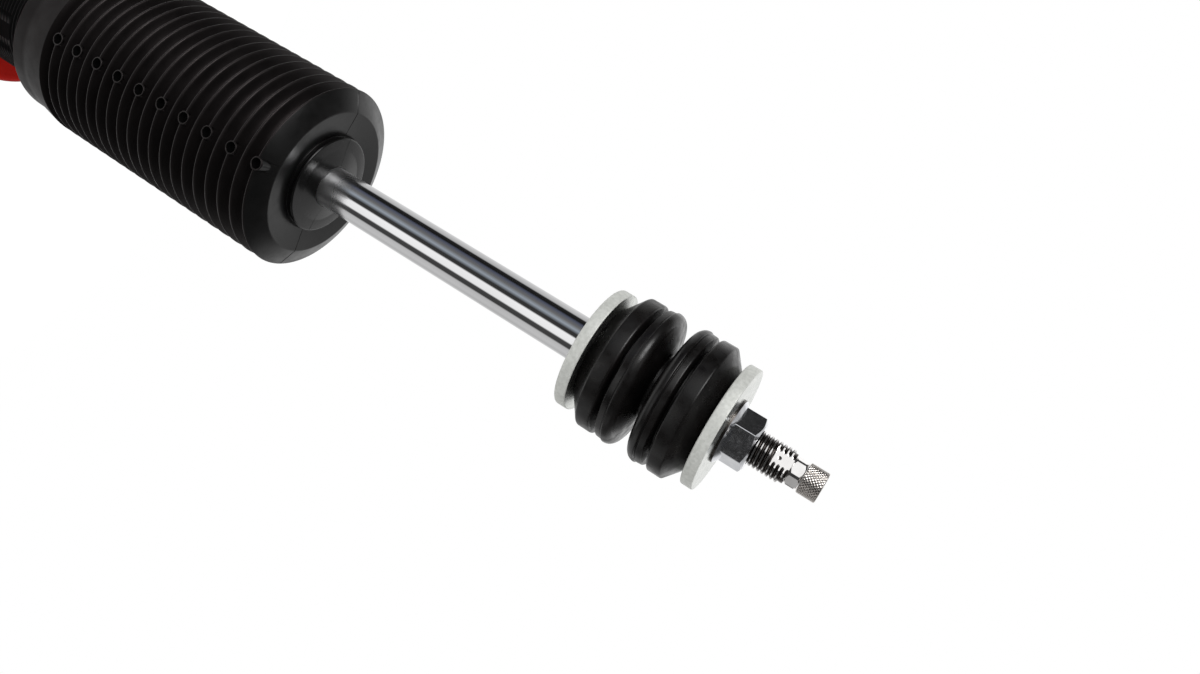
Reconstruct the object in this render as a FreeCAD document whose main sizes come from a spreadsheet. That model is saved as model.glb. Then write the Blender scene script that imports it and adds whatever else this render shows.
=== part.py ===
import FreeCAD, Part
import Sketcher
import math
import os
import re

# Height-adjustable monotube damper of a coilover set, standing with its rod end up.
# The lower eye's bore centre is the origin, the bore lies along Y and the damper along +Z.
# Lengths are millimetres. Sizes and places are bound to the sheet of driving dimensions.

UP_AXIS = FreeCAD.Vector(0, 0, 1)
ACROSS_AXIS = FreeCAD.Vector(1, 0, 0)

DIMENSIONS = {
    # fits
    "seat_gap": 0.3,
    "running_gap": 0.06,
    "ring_gap": 0.05,
    # lower bracket with its eye
    "eye_sleeve_bore_radius": 6.1,
    "eye_sleeve_wall": 2.9,
    "eye_sleeve_length": 40.0,
    "eye_bush_wall": 7.5,
    "eye_bush_dish": 3.0,
    "eye_wall": 3.5,
    "eye_width": 34.0,
    "eye_sink": 1.0,
    "neck_width": 30.0,
    "neck_depth": 28.0,
    "floor_thickness": 9.0,
    "sleeve_wall": 4.84,
    "sleeve_length": 181.5,
    "sleeve_edge": 1.2,
    "sleeve_foot_edge": 5.0,
    # lock ring
    "lock_ring_wall": 8.64,
    "lock_ring_height": 13.0,
    "lock_ring_edge": 3.2,
    "notch_width": 6.5,
    "notch_depth": 3.6,
    "notches": 8,
    "lock_ring_turn": 42.0,
    # threaded tube
    "tube_radius": 22.6,
    "tube_wall": 4.6,
    "tube_exposed": 58.5,
    "tube_edge": 0.8,
    "tube_flat_width": 11.0,
    "tube_flat_from_top": 25.3,
    "tube_flat_length": 130.0,
    "tube_flat_turn": 36.0,
    # base plug, gas valve and floating piston
    "plug_length": 14.0,
    "valve_radius": 4.0,
    "valve_share": 0.57,
    "valve_stem_radius": 2.4,
    "gas_length": 30.0,
    "floating_length": 15.0,
    "floating_wall": 3.6,
    "floating_crown": 6.0,
    "cord_radius": 1.15,
    # rod guide at the tube's mouth
    "guide_inset": 4.6,
    "guide_rim": 0.5,
    "guide_bush_wall": 1.5,
    "guide_bush_length": 14.0,
    "guide_lip_clearance": 0.7,
    "guide_lip_length": 2.3,
    "seal_width": 4.5,
    "seal_length": 5.8,
    "wiper_length": 5.8,
    "wiper_lip": 1.6,
    "circlip_thickness": 1.5,
    "circlip_width": 3.6,
    "circlip_depth": 1.2,
    "circlip_opening": 34.0,
    # cap on the tube, bump stop and dust boot
    "cap_wall": 3.54,
    "cap_skirt_length": 14.5,
    "cap_top_thickness": 4.0,
    "cap_hole_clearance": 2.5,
    "bump_stop_wall": 13.2,
    "bump_stop_length": 40.0,
    "bump_stop_waist": 2.4,
    "bump_stop_taper": 5.0,
    "boot_collar_wall": 2.1,
    "boot_collar_length": 16.6,
    "boot_collar_straight": 5.0,
    "boot_flare": 1.85,
    "boot_rim_edge": 0.7,
    "boot_ridge_pitch": 4.805,
    "boot_ridge_depth": 3.0,
    "boot_ridges": 20,
    "boot_wall": 1.8,
    "boot_bevel_width": 5.7,
    "boot_bevel_height": 2.7,
    "boot_boss_width": 8.5,
    "boot_boss_height": 2.2,
    "boot_groove_width": 1.0,
    "boot_groove_depth": 1.0,
    "boot_neck_wall": 2.1,
    "boot_neck_height": 0.5,
    "boot_turn": 10.6,
    "vent_radius": 1.85,
    "vent_hole_radius": 1.1,
    # rod
    "rod_radius": 6.5,
    "rod_length": 243.0,
    "rod_shoulder": 1.5,
    "stud_wall": 2.0,
    "stud_free_length": 10.4,
    "thread_depth": 0.4,
    "stud_flat_length": 5.0,
    "stud_flat_depth": 0.4,
    "rod_edge": 0.6,
    "hexagon_wall": 0.7,
    "hexagon_length": 3.3,
    "jet_share": 0.53,
    "jet_length": 12.0,
    # piston end of the rod
    "bumper_wall": 4.5,
    "bumper_length": 13.7,
    "stop_washer_wall": 8.0,
    "stop_washer_thickness": 3.0,
    "shim_thickness": 0.4,
    "shim_count": 4,
    "shim_clearance": 3.4,
    "shim_step": 1.3,
    "piston_length": 18.0,
    "piston_skirt_gap": 0.6,
    "band_length": 10.0,
    "band_thickness": 1.2,
    "port_radius": 2.2,
    "ports": 6,
    "piston_nut_wall": 3.5,
    "piston_nut_length": 7.8,
    "post_end": 2.0,
    # upper mount stack
    "washer_wall": 13.0,
    "washer_thickness": 3.5,
    "washer_edge": 0.8,
    "spacer_wall": 2.0,
    "bushing_radius": 20.4,
    "bushing_gap": 1.0,
    "bushing_bevel_width": 6.7,
    "bushing_bevel_length": 4.8,
    "bushing_disc_length": 5.4,
    "bushing_groove_depth": 4.9,
    "bushing_groove_width": 0.8,
    "bushing_round": 1.6,
    "bushing_crown": 3.7,
    "bushing_dish": 1.2,
    "pilot_wall": 2.55,
    "pilot_length": 4.6,
    "nut_wall": 2.0,
    "nut_length": 8.1,
    "nut_flange_width": 1.2,
    "nut_flange_height": 1.4,
    "nut_corner_height": 1.1,
    "nut_turn": 12.0,
    # damping adjuster
    "knob_radius": 4.25,
    "knob_length": 5.5,
    "knob_edge": 0.3,
    "knob_stem_length": 9.0,
    "knob_socket_share": 0.47,
    "knob_socket_depth": 7.0,
    "needle_share": 0.63,
    "needle_tip_share": 0.3,
    "needle_tip_length": 9.0,
    "needle_head_length": 12.0,
    "needle_travel": 1.6,
}

doc = FreeCAD.newDocument("damper")
sheet = doc.addObject("Spreadsheet::Sheet", "dims")
for row, (alias, size) in enumerate(DIMENSIONS.items(), 1):
    sheet.set(f"A{row}", alias)
    sheet.set(f"B{row}", str(size))
    sheet.setAlias(f"B{row}", alias)
doc.recompute()

parts = []


def cell_of(word):
    """The sheet's cell where the word is its alias, otherwise the word as it stands."""
    return f"dims.{word[0]}" if word[0] in DIMENSIONS else word[0]


def d(formula):
    """Expression in which every word is a cell of the sheet."""
    return "(" + re.sub(r"[a-z_]+", cell_of, formula) + ")"


def number(expression):
    """Present value of an expression."""
    return float(sheet.evalExpression(expression))


def origin_feature(body, role):
    """Plane or axis of the body's own origin."""
    return next(feature for feature in body.Origin.OriginFeatures if feature.Role == role)


def new_body(label, place="0", turn=None):
    """Empty body standing at a height on the axis, turned about it where a turn is given."""
    body = doc.addObject("PartDesign::Body", label)
    body.Label = label
    body.setExpression("Placement.Base.z", place)
    if turn:
        body.Placement.Rotation = FreeCAD.Rotation(UP_AXIS, number(turn))
        body.setExpression("Placement.Rotation.Angle", turn)
    parts.append(body)
    return body


def new_sketch(body, name, role, offset="0"):
    """Empty sketch on an origin plane of its own body, moved along the plane's normal."""
    sketch = body.newObject("Sketcher::SketchObject", f"{body.Name}_{name}")
    sketch.AttachmentSupport = [(origin_feature(body, role), "")]
    sketch.MapMode = "FlatFace"
    sketch.setExpression("AttachmentOffset.Base.z", offset)
    return sketch


def bind(sketch, kind, *reference, expression):
    index = sketch.addConstraint(Sketcher.Constraint(kind, *reference, number(expression)))
    sketch.setExpression(f"Constraints[{index}]", expression)


def arc_through(start, end, radius):
    """Arc from start to end; a positive radius turns anticlockwise, a negative one clockwise."""
    chord = end - start
    middle = (start + end) * 0.5
    height = math.sqrt(max(radius * radius - chord.Length ** 2 / 4, 0))
    normal = FreeCAD.Vector(-chord.y, chord.x, 0).normalize()
    centre = middle + normal * math.copysign(height, radius)
    first, last = (start, end) if radius > 0 else (end, start)
    angles = [math.atan2(p.y - centre.y, p.x - centre.x) for p in (first, last)]
    circle = Part.Circle(centre, UP_AXIS, abs(radius))
    return Part.ArcOfCircle(circle, angles[0], angles[1])


def draw_outline(sketch, outline):
    """Closed outline whose corners are bound to expressions.

    Each corner is (x, y), or (x, y, radius) where the stretch to the next corner is an arc.
    """
    corners = [FreeCAD.Vector(number(c[0]), number(c[1]), 0) for c in outline]
    ends = []
    for index, corner in enumerate(outline):
        start, end = corners[index], corners[(index + 1) % len(outline)]
        if len(corner) == 2:
            sketch.addGeometry(Part.LineSegment(start, end), False)
            ends.append((1, 2))
        else:
            radius = number(corner[2])
            sketch.addGeometry(arc_through(start, end, radius), False)
            ends.append((1, 2) if radius > 0 else (2, 1))
    for index, corner in enumerate(outline):
        following = (index + 1) % len(outline)
        sketch.addConstraint(
            Sketcher.Constraint("Coincident", index, ends[index][1], following, ends[following][0]))
        bind(sketch, "DistanceX", -1, 1, index, ends[index][0], expression=corner[0])
        bind(sketch, "DistanceY", -1, 1, index, ends[index][0], expression=corner[1])
        if len(corner) == 3:
            bind(sketch, "Radius", index, expression=f"abs({corner[2]})")


def draw_circle(sketch, x, y, radius):
    centre = FreeCAD.Vector(number(x), number(y), 0)
    index = sketch.addGeometry(Part.Circle(centre, UP_AXIS, number(radius)), False)
    bind(sketch, "DistanceX", -1, 1, index, 3, expression=x)
    bind(sketch, "DistanceY", -1, 1, index, 3, expression=y)
    bind(sketch, "Radius", index, expression=radius)


def draw_hexagon(sketch, width):
    """Hexagon with a flat towards -Y, given its width across flats."""
    corners = []
    for index in range(6):
        angle = 60 * index
        corners.append((f"{width} / sqrt(3) * cos({angle} deg)", f"{width} / sqrt(3) * sin({angle} deg)"))
    draw_outline(sketch, corners)


def add_feature(body, kind, name, sketch, settings):
    """Feature made from a sketch; it becomes the body's tip and has to change the volume."""
    doc.recompute()
    before = body.Tip.Shape.Volume if body.Tip else 0.0
    feature = body.newObject(f"PartDesign::{kind}", f"{body.Name}_{name}")
    feature.Profile = sketch
    for setting, value in settings.items():
        if isinstance(value, str):
            feature.setExpression(setting, value)
        else:
            setattr(feature, setting, value)
    body.Tip = feature
    doc.recompute()
    if abs(feature.Shape.Volume - before) < 1e-3:
        raise RuntimeError(f"{feature.Name} changes nothing")
    return feature


def revolve(body, name, outline, kind="Revolution", angle="360"):
    """Solid or cut of revolution about the body's Z axis, from (radius, height) corners."""
    sketch = new_sketch(body, name + "_outline", "XZ_Plane")
    draw_outline(sketch, outline)
    return add_feature(body, kind, name, sketch, {"ReferenceAxis": (sketch, ["V_Axis"]), "Angle": angle})


def turned(label, outline, place="0", angle="360"):
    """Body that is one solid of revolution."""
    body = new_body(label, place)
    revolve(body, "turned", outline, angle=angle)
    return body


def extrude(body, kind, name, sketch, length, midplane=False, reverse=False):
    """Pad or pocket of a sketch."""
    return add_feature(body, kind, name, sketch, {
        "Type": 0, "Length": length, "Midplane": midplane, "Reversed": reverse})


def polar_copies(body, name, feature, count):
    """Copies of a feature evenly about the body's Z axis."""
    pattern = body.newObject("PartDesign::PolarPattern", f"{body.Name}_{name}")
    pattern.Originals = [feature]
    pattern.Axis = (origin_feature(body, "Z_Axis"), [""])
    pattern.Angle = 360
    pattern.setExpression("Occurrences", count)
    body.Tip = pattern


def ring_outline(inner, outer, length, edge=None):
    """Plain ring, its outer corners rounded where an edge radius is given."""
    if edge is None:
        return [(inner, "0"), (outer, "0"), (outer, length), (inner, length)]
    return [(inner, "0"), (f"{outer} - {edge}", "0", edge), (outer, edge),
            (outer, f"{length} - {edge}", edge), (f"{outer} - {edge}", length), (inner, length)]


# Radii that several pieces share
eye_sleeve = d("eye_sleeve_bore_radius + eye_sleeve_wall")
eye_bore = f"({eye_sleeve} + {d('eye_bush_wall')})"
eye_outer = f"({eye_bore} + {d('eye_wall')})"
tube_fit = d("tube_radius + running_gap")
tube_bore = d("tube_radius - tube_wall")
tube_bore_fit = f"({tube_bore} - {d('ring_gap')})"
cap_outer = f"({tube_fit} + {d('cap_wall')})"
rod_fit = d("rod_radius + running_gap")
stud = d("rod_radius - rod_shoulder")
stud_fit = f"({stud} + {d('ring_gap')})"
shank = f"({stud} - {d('thread_depth')})"
shank_fit = f"({shank} + {d('ring_gap')})"
rod_bore = f"({stud} - {d('stud_wall')})"
rod_bore_fit = f"({rod_bore} - {d('running_gap')})"
jet = f"({rod_bore} * {d('jet_share')})"
spacer = f"({stud_fit} + {d('spacer_wall')})"
spacer_fit = f"({spacer} + {d('ring_gap')})"
cord_ring = f"({tube_bore} - {d('cord_radius + ring_gap')})"
cord_groove = f"({tube_bore} - {d('2 * cord_radius + 2 * ring_gap')})"
cord_groove_half = d("cord_radius + ring_gap")

# Lengths made up of others
tube_length = d("sleeve_length - seat_gap + tube_exposed")
guide_length = d("guide_bush_length + guide_lip_length + seal_length + wiper_length + guide_rim")
shims_length = d("shim_thickness * shim_count")
post_length = d("stop_washer_thickness + piston_length + piston_nut_length + post_end")
post_length = f"({post_length} + 2 * {shims_length})"
bushing_length = d("bushing_bevel_length + bushing_disc_length + bushing_groove_width")
bushing_length = f"({bushing_length} + {d('bushing_round + bushing_crown + bushing_dish')})"
bushings_length = f"(2 * {bushing_length} + {d('bushing_gap')})"
stud_length = f"({bushings_length} + {d('2 * washer_thickness + nut_length + stud_free_length')})"

# Heights along the axis, from the eye upwards
foot_base = f"({eye_outer} - {d('eye_sink')})"
floor = f"({foot_base} + {d('floor_thickness')})"
sleeve_top = f"({floor} + {d('sleeve_length')})"
tube_base = f"({floor} + {d('seat_gap')})"
tube_top = f"({tube_base} + {tube_length})"
floating_base = f"({tube_base} + {d('plug_length + gas_length')})"
guide_base = f"({tube_top} - {d('guide_inset')} - {guide_length})"
seal_base = f"({guide_base} + {d('guide_bush_length + guide_lip_length')})"
cap_base = f"({tube_top} - {d('cap_skirt_length')})"
cap_top = f"({tube_top} + {d('cap_top_thickness')})"
boot_base = f"({cap_base} - {d('seat_gap')})"
bumper_base = f"({guide_base} - {d('seat_gap + bumper_length')})"
stop_washer_base = f"({bumper_base} - {d('stop_washer_thickness')})"
upper_shims_base = f"({stop_washer_base} - {shims_length})"
piston_base = f"({upper_shims_base} - {d('piston_length')})"
lower_shims_base = f"({piston_base} - {shims_length})"
piston_nut_base = f"({lower_shims_base} - {d('piston_nut_length')})"
rod_base = f"({bumper_base} - {post_length})"
shoulder = f"({bumper_base} + {d('rod_length')})"
lower_bushing_base = f"({shoulder} + {d('washer_thickness')})"
upper_washer_base = f"({lower_bushing_base} + {bushings_length})"
nut_base = f"({upper_washer_base} + {d('washer_thickness')})"
knob_base = f"({shoulder} + {stud_length} + {d('hexagon_length')})"


def build_bracket():
    """Sleeve with a closed foot, a neck and the eye; the tube screws into the sleeve."""
    body = new_body("lower_bracket")
    outer = f"({tube_fit} + {d('sleeve_wall')})"
    edge, foot_edge = d("sleeve_edge"), d("sleeve_foot_edge")
    revolve(body, "sleeve", [
        ("0", foot_base), (f"{outer} - {foot_edge}", foot_base), (outer, f"{foot_base} + {foot_edge}"),
        (outer, f"{sleeve_top} - {edge}"), (f"{outer} - {edge}", sleeve_top),
        (tube_fit, sleeve_top), (tube_fit, floor), ("0", floor)])
    neck = new_sketch(body, "neck_outline", "XZ_Plane")
    half, top = d("neck_width / 2"), f"({foot_base} + {d('floor_thickness / 2')})"
    draw_outline(neck, [(f"-{half}", "0"), (half, "0"), (half, top), (f"-{half}", top)])
    extrude(body, "Pad", "neck", neck, d("neck_depth"), midplane=True)
    eye = new_sketch(body, "eye_outline", "XZ_Plane")
    draw_circle(eye, "0", "0", eye_outer)
    extrude(body, "Pad", "eye", eye, d("eye_width"), midplane=True)
    bore = new_sketch(body, "bore_outline", "XZ_Plane")
    draw_circle(bore, "0", "0", eye_bore)
    extrude(body, "Pocket", "bore", bore, d("eye_width * 2"), midplane=True)


def build_eye_bush():
    """Rubber bush pressed into the eye, dished at both faces, and the steel sleeve in it."""
    half, reach = d("eye_width / 2"), d("eye_sleeve_length / 2")
    inner = f"({eye_sleeve} + {d('running_gap')})"
    outer = f"({eye_bore} - {d('ring_gap')})"
    middle, dish = f"({inner} + {outer}) / 2", d("eye_width / 2 - eye_bush_dish")
    bush = turned("eye_bush", [
        (inner, f"-{half}"), (middle, f"-{dish}"), (outer, f"-{half}"),
        (outer, half), (middle, dish), (inner, half)])
    bore = d("eye_sleeve_bore_radius")
    sleeve = turned("eye_sleeve", [
        (bore, f"-{reach}"), (eye_sleeve, f"-{reach}"), (eye_sleeve, reach), (bore, reach)])
    for body in (bush, sleeve):
        body.Placement.Rotation = FreeCAD.Rotation(ACROSS_AXIS, -90)


def build_lock_ring():
    """Ring nut on the tube's thread, rounded outside, with notches for a hook spanner."""
    body = new_body("lock_ring", sleeve_top, d("lock_ring_turn"))
    outer, height = f"({tube_fit} + {d('lock_ring_wall')})", d("lock_ring_height")
    edge = d("lock_ring_edge")
    revolve(body, "ring", [
        (tube_fit, "0"), (f"{outer} - {edge}", "0", edge), (outer, edge),
        (outer, f"{height} - {edge}", edge), (f"{outer} - {edge}", height), (tube_fit, height)])
    notch = new_sketch(body, "notch_outline", "XY_Plane")
    half, bottom, beyond = d("notch_width / 2"), f"{outer} - {d('notch_depth')}", f"{outer} * 1.2"
    draw_outline(notch, [(bottom, f"-{half}"), (beyond, f"-{half}"), (beyond, half), (bottom, half)])
    cut = extrude(body, "Pocket", "notch", notch, height, reverse=True)
    polar_copies(body, "copies", cut, d("notches"))


def build_tube():
    """Threaded damper tube, its thread left plain, with a lengthwise flat and a circlip groove."""
    body = new_body("damper_tube", tube_base, d("tube_flat_turn"))
    outer, edge = d("tube_radius"), d("tube_edge")
    groove = f"({tube_bore} + {d('circlip_depth')})"
    groove_low = f"({tube_length} - {d('guide_inset')})"
    groove_high = f"({groove_low} + {d('circlip_thickness + 2 * ring_gap')})"
    revolve(body, "tube", [
        (tube_bore, "0"), (f"{outer} - {edge}", "0"), (outer, edge), (outer, f"{tube_length} - {edge}"),
        (f"{outer} - {edge}", tube_length), (tube_bore, tube_length), (tube_bore, groove_high),
        (groove, groove_high), (groove, groove_low), (tube_bore, groove_low)])
    flat = new_sketch(body, "flat_outline", "XY_Plane", f"{tube_length} - {d('tube_flat_from_top')}")
    half, beyond = d("tube_flat_width * 0.75"), d("tube_radius * 1.2")
    level = d("sqrt(tube_radius ^ 2 - (tube_flat_width / 2) ^ 2)")
    draw_outline(flat, [(f"-{half}", f"-{level}"), (f"-{half}", f"-{beyond}"),
                        (half, f"-{beyond}"), (half, f"-{level}")])
    extrude(body, "Pocket", "flat", flat, d("tube_flat_length"))


def cord(label, place):
    """O-ring in a groove against the tube's bore."""
    ring = doc.addObject("Part::Torus", label)
    ring.Label = label
    ring.setExpression("Radius1", cord_ring)
    ring.setExpression("Radius2", d("cord_radius"))
    ring.setExpression("Placement.Base.z", place)
    parts.append(ring)


def grooved_side(inner, length, groove_middle):
    """Foot and outer side of a plug in the tube's bore, with an O-ring groove, read upwards."""
    low, high = f"{groove_middle} - {cord_groove_half}", f"{groove_middle} + {cord_groove_half}"
    return [(inner, "0"), (tube_bore_fit, "0"), (tube_bore_fit, low), (cord_groove, low),
            (cord_groove, high), (tube_bore_fit, high), (tube_bore_fit, length)]


def build_base():
    """Plug that closes the tube's foot, with its O-ring and gas valve."""
    length, middle = d("plug_length"), d("plug_length / 2")
    body_length, stem_end = d("plug_length * valve_share"), d("plug_length - valve_stem_radius")
    seat, bore = f"{body_length} + {d('ring_gap')}", d("valve_radius + ring_gap")
    passage, stem = d("valve_stem_radius"), d("valve_stem_radius - ring_gap")
    turned("base_plug", grooved_side(bore, length, middle) + [
        (passage, length), (passage, seat), (bore, seat)], tube_base)
    cord("base_o_ring", f"{tube_base} + {middle}")
    turned("gas_valve", [
        ("0", "0"), (d("valve_radius"), "0"), (d("valve_radius"), body_length), (stem, body_length),
        (stem, stem_end), ("0", stem_end)], tube_base)


def build_floating_piston():
    """Cup that parts the oil from the gas, open towards the gas, with its O-ring."""
    length, middle = d("floating_length"), d("floating_length * 0.3")
    cup, depth = f"({cord_groove} - {d('floating_wall')})", d("floating_length - floating_crown")
    turned("floating_piston", grooved_side(cup, length, middle) + [
        ("0", length), ("0", depth), (cup, depth)], floating_base)
    cord("floating_o_ring", f"{floating_base} + {middle}")


def build_guide():
    """Rod guide with its bush, rod seal, wiper, O-ring and the circlip that keeps it in the tube."""
    bush, lip, seal = d("rod_radius + guide_bush_wall"), d("rod_radius + guide_lip_clearance"), \
        d("rod_radius + seal_width")
    bush_top, seal_floor = d("guide_bush_length"), d("guide_bush_length + guide_lip_length")
    middle = d("guide_bush_length * 0.6")
    turned("rod_guide", grooved_side(bush, guide_length, middle) + [
        (seal, guide_length), (seal, seal_floor), (lip, seal_floor), (lip, bush_top),
        (bush, bush_top)], guide_base)
    cord("guide_o_ring", f"{guide_base} + {middle}")
    press = d("ring_gap")
    turned("guide_bush", ring_outline(rod_fit, f"{bush} - {press}", bush_top), guide_base)
    ledge, height = d("rod_radius + seal_width / 2"), d("seal_length")
    turned("rod_seal", [
        (rod_fit, "0"), (f"{seal} - {press}", "0"), (f"{seal} - {press}", height), (ledge, height),
        (ledge, f"{height} / 2"), (rod_fit, height)], seal_base)
    height, tip = d("wiper_length"), d("wiper_length + wiper_lip")
    turned("wiper_seal", [
        (rod_fit, "0"), (f"{seal} - {press}", "0"), (f"{seal} - {press}", height), (ledge, height),
        (d("rod_radius + wiper_lip / 2"), tip), (rod_fit, tip)], f"{seal_base} + {d('seal_length')}")
    turned("retaining_ring", ring_outline(
        f"{tube_bore} - {d('circlip_width')}", f"{tube_bore} + {d('circlip_depth - ring_gap')}",
        d("circlip_thickness")), f"{tube_top} - {d('guide_inset - ring_gap')}", d("360 - circlip_opening"))


def build_cap_and_stop():
    """Cap on the tube's mouth that carries the boot, and the bump stop standing on it."""
    skirt, top = d("cap_skirt_length"), d("cap_skirt_length + cap_top_thickness")
    edge, hole = d("cap_top_thickness / 2"), d("rod_radius + cap_hole_clearance")
    turned("bump_cap", [
        (tube_fit, "0"), (cap_outer, "0"), (cap_outer, f"{top} - {edge}"), (f"{cap_outer} - {edge}", top),
        (hole, top), (hole, skirt), (tube_fit, skirt)], cap_base)
    bore = d("rod_radius + seat_gap")
    outer = d("rod_radius + seat_gap + bump_stop_wall")
    waist, nose = f"({outer} - {d('bump_stop_waist')})", f"({outer} - {d('bump_stop_taper')})"
    heights = [d(f"bump_stop_length * {share}") for share in (0.25, 0.34, 0.43, 0.57, 0.66, 0.75)]
    length = d("bump_stop_length")
    turned("bump_stop", [
        (bore, "0"), (outer, "0"), (outer, heights[0]), (waist, heights[1]), (outer, heights[2]),
        (outer, heights[3]), (waist, heights[4]), (outer, heights[5]), (nose, length),
        (bore, length)], cap_top)


def build_boot():
    """Bellows boot: a smooth collar, thin ridges, a bevelled end with a neck and a row of vents."""
    body = new_body("dust_boot", boot_base, d("boot_turn"))
    collar_bore = f"({cap_outer} + {d('ring_gap')})"
    collar = f"({collar_bore} + {d('boot_collar_wall')})"
    crest = f"({collar} + {d('boot_flare')})"
    valley = f"({crest} - {d('boot_ridge_depth')})"
    bore = f"({valley} - {d('boot_wall')})"
    first, pitch = d("boot_collar_length"), d("boot_ridge_pitch")
    last = f"({first} + {d('boot_ridge_pitch * (boot_ridges - 1)')})"
    face = f"({last} + {d('boot_bevel_height')})"
    boss_top = f"({face} + {d('boot_boss_height')})"
    groove_floor = f"({face} - {d('boot_groove_depth')})"
    ceiling = f"({last} - {d('boot_wall')})"
    ledge = d("cap_skirt_length + cap_top_thickness + 2 * seat_gap")
    boss = d("rod_radius + boot_boss_width")
    groove = d("rod_radius + boot_boss_width + boot_groove_width")
    outline = [(collar_bore, "0"), (f"{collar} - {d('boot_rim_edge')}", "0"), (collar, d("boot_rim_edge")),
               (collar, d("boot_collar_straight")), (crest, first)]
    for ridge in range(1, DIMENSIONS["boot_ridges"]):
        outline.append((valley, f"{first} + {pitch} * {ridge - 0.5}"))
        outline.append((crest, f"{first} + {pitch} * {ridge}"))
    outline += [(f"{crest} - {d('boot_bevel_width')}", face), (groove, face), (groove, groove_floor),
                (boss, groove_floor), (boss, boss_top), (d("rod_radius + boot_neck_wall"), boss_top),
                (rod_fit, f"{boss_top} + {d('boot_neck_height')}"), (rod_fit, ceiling), (bore, ceiling),
                (bore, ledge), (collar_bore, ledge)]
    revolve(body, "bellows", outline)
    height = f"{first} + {pitch}"
    ring_sketch = new_sketch(body, "vent_ring_outline", "XZ_Plane", valley)
    draw_circle(ring_sketch, "0", height, d("vent_radius"))
    ring = extrude(body, "Pad", "vent_ring", ring_sketch, d("boot_ridge_depth"))
    hole_sketch = new_sketch(body, "vent_hole_outline", "XZ_Plane", crest)
    draw_circle(hole_sketch, "0", height, d("vent_hole_radius"))
    hole = extrude(body, "Pocket", "vent_hole", hole_sketch, d("boot_ridge_depth + boot_wall * 2"))
    row = body.newObject("PartDesign::LinearPattern", "dust_boot_vents")
    row.Originals = [ring, hole]
    row.Direction = (origin_feature(body, "Z_Axis"), [""])
    row.setExpression("Length", d("boot_ridge_pitch * 2 * (floor(boot_ridges / 2) - 1)"))
    row.setExpression("Occurrences", d("floor(boot_ridges / 2)"))
    body.Tip = row


def build_rod():
    """Hollow rod: piston post, chromed shaft, stud with a milled flat and a hexagon end.

    Where a nut grips it the thread is taken at its pitch radius, and on the free end at its crests.
    """
    body = new_body("piston_rod", rod_base)
    shaft, edge, jet_top = d("rod_radius"), d("rod_edge"), d("jet_length")
    high = f"({post_length} + {d('rod_length')})"
    end = f"({high} + {stud_length})"
    thread = f"({end} - {d('stud_free_length - seat_gap')})"
    revolve(body, "shaft", [
        (jet, "0"), (f"{shank} - {edge}", "0"), (shank, edge), (shank, post_length), (shaft, post_length),
        (shaft, high), (shank, high), (shank, thread), (stud, thread), (stud, f"{end} - {edge}"),
        (f"{stud} - {edge}", end), (rod_bore, end), (rod_bore, jet_top), (jet, jet_top)])
    flat = new_sketch(body, "flat_outline", "XY_Plane", end)
    level, beyond = f"({stud} - {d('stud_flat_depth')})", f"({stud} * 1.2)"
    draw_outline(flat, [(f"-{beyond}", f"-{level}"), (f"-{beyond}", f"-{beyond}"),
                        (beyond, f"-{beyond}"), (beyond, f"-{level}")])
    extrude(body, "Pocket", "flat", flat, d("stud_flat_length"))
    hexagon = new_sketch(body, "hexagon_outline", "XY_Plane", end)
    draw_hexagon(hexagon, f"(2 * ({rod_bore} + {d('hexagon_wall')}))")
    draw_circle(hexagon, "0", "0", rod_bore)
    extrude(body, "Pad", "hexagon", hexagon, d("hexagon_length"))


def hex_nut(body, width, length):
    """Hexagon nut on the stud's thread, the corners of its upper face turned off."""
    hexagon = new_sketch(body, "hexagon_outline", "XY_Plane")
    draw_hexagon(hexagon, width)
    draw_circle(hexagon, "0", "0", shank_fit)
    extrude(body, "Pad", "hexagon", hexagon, length)
    corner, drop = f"({width} / sqrt(3))", d("nut_corner_height")
    revolve(body, "corners", [
        (corner, f"{length} - {drop}"), (f"{corner} + {drop}", f"{length} - {drop}"),
        (f"{corner} + {drop}", length), (f"{width} / 2", length)], kind="Groove")


def shim_stack(label, place, widest_first):
    """Thin discs on the post, each smaller than the one nearer the piston."""
    rings = []
    count = DIMENSIONS["shim_count"]
    for index in range(count):
        step = index if widest_first else count - 1 - index
        disc = doc.addObject("Part::Cylinder", f"{label}_disc_{index + 1}")
        disc.setExpression("Radius", f"{tube_bore} - {d(f'shim_clearance + shim_step * {step}')}")
        hole = doc.addObject("Part::Cylinder", f"{label}_hole_{index + 1}")
        hole.setExpression("Radius", shank_fit)
        for solid in (disc, hole):
            solid.setExpression("Height", d("shim_thickness"))
            solid.setExpression("Placement.Base.z", d(f"shim_thickness * {index}"))
        ring = doc.addObject("Part::Cut", f"{label}_ring_{index + 1}")
        ring.Base = disc
        ring.Tool = hole
        rings.append(ring)
    stack = doc.addObject("Part::Compound", label)
    stack.Label = label
    stack.Links = rings
    stack.setExpression("Placement.Base.z", place)
    parts.append(stack)


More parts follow.
